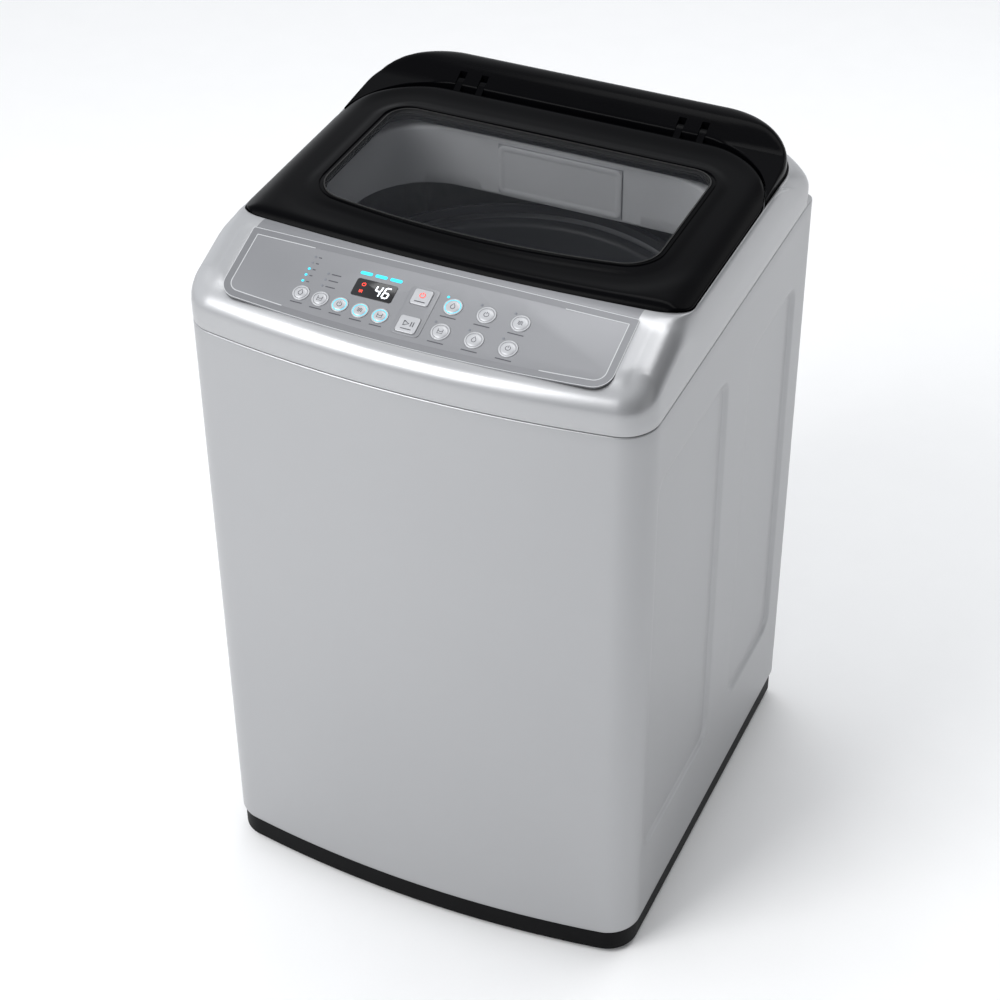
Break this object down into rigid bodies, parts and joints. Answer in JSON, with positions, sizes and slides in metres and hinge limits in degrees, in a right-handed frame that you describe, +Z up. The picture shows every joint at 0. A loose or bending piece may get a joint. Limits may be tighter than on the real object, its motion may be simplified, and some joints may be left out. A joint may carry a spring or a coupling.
{
  "type": "top load washing machine",
  "caption": "Free-standing top load washing machine: bow-fronted silver cabinet, sloped control panel, black lid with a glass window, hanging tub with a spin basket and belt drive.",
  "frame": {"origin": "middle of the footprint, on the floor under the machine", "axes": "+Z up, -Y towards the person using the machine, +X towards that person's right"},
  "size_m": [0.54, 0.554, 0.884],
  "materials": {
    "silver_paint": "satin metallic",
    "galvanised": "satin",
    "steel": "satin",
    "stainless": "bright",
    "silver_plastic": "gloss metallic",
    "fascia_plastic": "satin metallic",
    "button_plastic": "gloss metallic",
    "black_gloss": "gloss",
    "black_plastic": "matte",
    "smoked_glass": "clear tinted",
    "indicator": "translucent",
    "rubber": "matte",
    "grey_plastic": "satin",
    "white_plastic": "satin",
    "board_green": "satin",
    "cast_aluminium": "cast",
    "motor_paint": "semi-gloss"
  },
  "bodies": {
    "machine": {"cabinet": "silver_paint", "back_panel": "galvanised", "base_frame": "black_plastic", "fasteners": "steel", "top_cover": "silver_plastic", "rear_cover": "black_gloss", "control_fascia": "fascia_plastic", "button_plate": "fascia_plastic", "display_window": "smoked_glass", "indicator_lenses": "indicator", "control_board": "board_green", "hinge_pins": "steel", "lid_bumpers": "rubber", "lid_lock": "black_plastic", "drawer_housing": "grey_plastic", "inlet_valve": "white_plastic", "level_sensor": "white_plastic", "drain_port": "black_plastic", "cord_gland": "rubber", "suspension_rods": "steel", "suspension_springs": "steel"},
    "lid": {"lid_frame": "black_gloss", "lid_window": "smoked_glass", "window_gasket": "rubber", "lid_catch": "black_plastic"},
    "bolt": {"lock_bolt": "steel"},
    "drawer": {"detergent_drawer": "grey_plastic"},
    "tub": {"outer_tub": "grey_plastic", "tub_cover": "grey_plastic", "tub_base_plate": "steel", "clutch_housing": "cast_aluminium", "motor": "motor_paint", "drive_belt": "rubber", "drain_valve": "white_plastic"},
    "basket": {"spin_basket": "stainless", "balance_ring": "grey_plastic", "basket_hub": "cast_aluminium"},
    "filter": {"lint_filter": "white_plastic"},
    "agitator": {"pulsator": "grey_plastic", "pulsator_cap": "grey_plastic", "pulsator_shaft": "steel"},
    "pulley": {"drive_pulley": "cast_aluminium"},
    "rotor": {"motor_pulley": "cast_aluminium"},
    "option_button_1_cap": {"option_button_1": "button_plastic"},
    "option_button_2_cap": {"option_button_2": "button_plastic"},
    "option_button_3_cap": {"option_button_3": "button_plastic"},
    "option_button_4_cap": {"option_button_4": "button_plastic"},
    "option_button_5_cap": {"option_button_5": "button_plastic"},
    "programme_button_1_cap": {"programme_button_1": "button_plastic"},
    "programme_button_2_cap": {"programme_button_2": "button_plastic"},
    "programme_button_3_cap": {"programme_button_3": "button_plastic"},
    "programme_button_4_cap": {"programme_button_4": "button_plastic"},
    "programme_button_5_cap": {"programme_button_5": "button_plastic"},
    "programme_button_6_cap": {"programme_button_6": "button_plastic"},
    "power_button_cap": {"power_button": "button_plastic"},
    "start_button_cap": {"start_button": "button_plastic"},
    "foot_front_left_screw": {"foot_front_left": "rubber"},
    "foot_front_right_screw": {"foot_front_right": "rubber"},
    "foot_rear_left_screw": {"foot_rear_left": "rubber"},
    "foot_rear_right_screw": {"foot_rear_right": "rubber"}
  },
  "joints": [
    {"name": "lid_hinge", "type": "hinge", "parent": "machine", "child": "lid", "pos_m": [0, 0.212, 0.864], "axis": [-1, 0, 0], "range_deg": [0, 93]},
    {"name": "lock_bolt_slide", "type": "slide", "parent": "machine", "child": "bolt", "axis": [-1, 0, 0], "range_m": [0, 0.008]},
    {"name": "drawer_slide", "type": "slide", "parent": "machine", "child": "drawer", "axis": [0, -1, 0], "range_m": [0, 0.085]},
    {"name": "tub_bounce", "type": "slide", "parent": "machine", "child": "tub", "axis": [0, 0, 1], "range_m": [-0.012, 0.012], "stiffness_N_per_m": 14000, "springref_m": 0.01472, "deforming": ["suspension_springs"]},
    {"name": "basket_spin", "type": "hinge", "parent": "tub", "child": "basket", "pos_m": [0, 0, 0.4], "axis": [0, 0, 1], "continuous": true},
    {"name": "filter_slide", "type": "slide", "parent": "basket", "child": "filter", "axis": [0, 0, 1], "range_m": [0, 0.03]},
    {"name": "pulley_spin", "type": "hinge", "parent": "tub", "child": "pulley", "pos_m": [0, 0, 0.094], "axis": [0, 0, 1], "continuous": true},
    {"name": "agitator_spin", "type": "hinge", "parent": "tub", "child": "agitator", "pos_m": [0, 0, 0.26], "axis": [0, 0, 1], "continuous": true},
    {"name": "motor_spin", "type": "hinge", "parent": "tub", "child": "rotor", "pos_m": [0.15, 0, 0.094], "axis": [0, 0, 1], "continuous": true},
    {"name": "option_button_1_press", "type": "slide", "parent": "machine", "child": "option_button_1_cap", "axis": [0, 0.3502, -0.9367], "range_m": [0, 0.001], "stiffness_N_per_m": 900, "springref_m": -0.001},
    {"name": "option_button_2_press", "type": "slide", "parent": "machine", "child": "option_button_2_cap", "axis": [0, 0.3502, -0.9367], "range_m": [0, 0.001], "stiffness_N_per_m": 900, "springref_m": -0.001},
    {"name": "option_button_3_press", "type": "slide", "parent": "machine", "child": "option_button_3_cap", "axis": [0, 0.3502, -0.9367], "range_m": [0, 0.001], "stiffness_N_per_m": 900, "springref_m": -0.001},
    {"name": "option_button_4_press", "type": "slide", "parent": "machine", "child": "option_button_4_cap", "axis": [0, 0.3502, -0.9367], "range_m": [0, 0.001], "stiffness_N_per_m": 900, "springref_m": -0.001},
    {"name": "option_button_5_press", "type": "slide", "parent": "machine", "child": "option_button_5_cap", "axis": [0, 0.3502, -0.9367], "range_m": [0, 0.001], "stiffness_N_per_m": 900, "springref_m": -0.001},
    {"name": "programme_button_1_press", "type": "slide", "parent": "machine", "child": "programme_button_1_cap", "axis": [0, 0.3502, -0.9367], "range_m": [0, 0.001], "stiffness_N_per_m": 900, "springref_m": -0.001},
    {"name": "programme_button_2_press", "type": "slide", "parent": "machine", "child": "programme_button_2_cap", "axis": [0, 0.3502, -0.9367], "range_m": [0, 0.001], "stiffness_N_per_m": 900, "springref_m": -0.001},
    {"name": "programme_button_3_press", "type": "slide", "parent": "machine", "child": "programme_button_3_cap", "axis": [0, 0.3502, -0.9367], "range_m": [0, 0.001], "stiffness_N_per_m": 900, "springref_m": -0.001},
    {"name": "programme_button_4_press", "type": "slide", "parent": "machine", "child": "programme_button_4_cap", "axis": [0, 0.3502, -0.9367], "range_m": [0, 0.001], "stiffness_N_per_m": 900, "springref_m": -0.001},
    {"name": "programme_button_5_press", "type": "slide", "parent": "machine", "child": "programme_button_5_cap", "axis": [0, 0.3502, -0.9367], "range_m": [0, 0.001], "stiffness_N_per_m": 900, "springref_m": -0.001},
    {"name": "programme_button_6_press", "type": "slide", "parent": "machine", "child": "programme_button_6_cap", "axis": [0, 0.3502, -0.9367], "range_m": [0, 0.001], "stiffness_N_per_m": 900, "springref_m": -0.001},
    {"name": "power_button_press", "type": "slide", "parent": "machine", "child": "power_button_cap", "axis": [0, 0.3502, -0.9367], "range_m": [0, 0.001], "stiffness_N_per_m": 900, "springref_m": -0.001},
    {"name": "start_button_press", "type": "slide", "parent": "machine", "child": "start_button_cap", "axis": [0, 0.3502, -0.9367], "range_m": [0, 0.001], "stiffness_N_per_m": 900, "springref_m": -0.001},
    {"name": "foot_front_left_turn", "type": "hinge", "parent": "machine", "child": "foot_front_left_screw", "pos_m": [-0.215, -0.2, 0.02], "axis": [0, 0, 1], "continuous": true},
    {"name": "foot_front_right_turn", "type": "hinge", "parent": "machine", "child": "foot_front_right_screw", "pos_m": [0.215, -0.2, 0.02], "axis": [0, 0, 1], "continuous": true},
    {"name": "foot_rear_left_turn", "type": "hinge", "parent": "machine", "child": "foot_rear_left_screw", "pos_m": [-0.215, 0.222, 0.02], "axis": [0, 0, 1], "continuous": true},
    {"name": "foot_rear_right_turn", "type": "hinge", "parent": "machine", "child": "foot_rear_right_screw", "pos_m": [0.215, 0.222, 0.02], "axis": [0, 0, 1], "continuous": true}
  ],
  "couplings": [
    {"joint": "agitator_spin", "follows": "pulley_spin", "ratio": 0.2},
    {"joint": "motor_spin", "follows": "pulley_spin", "ratio": 3.448}
  ]
}
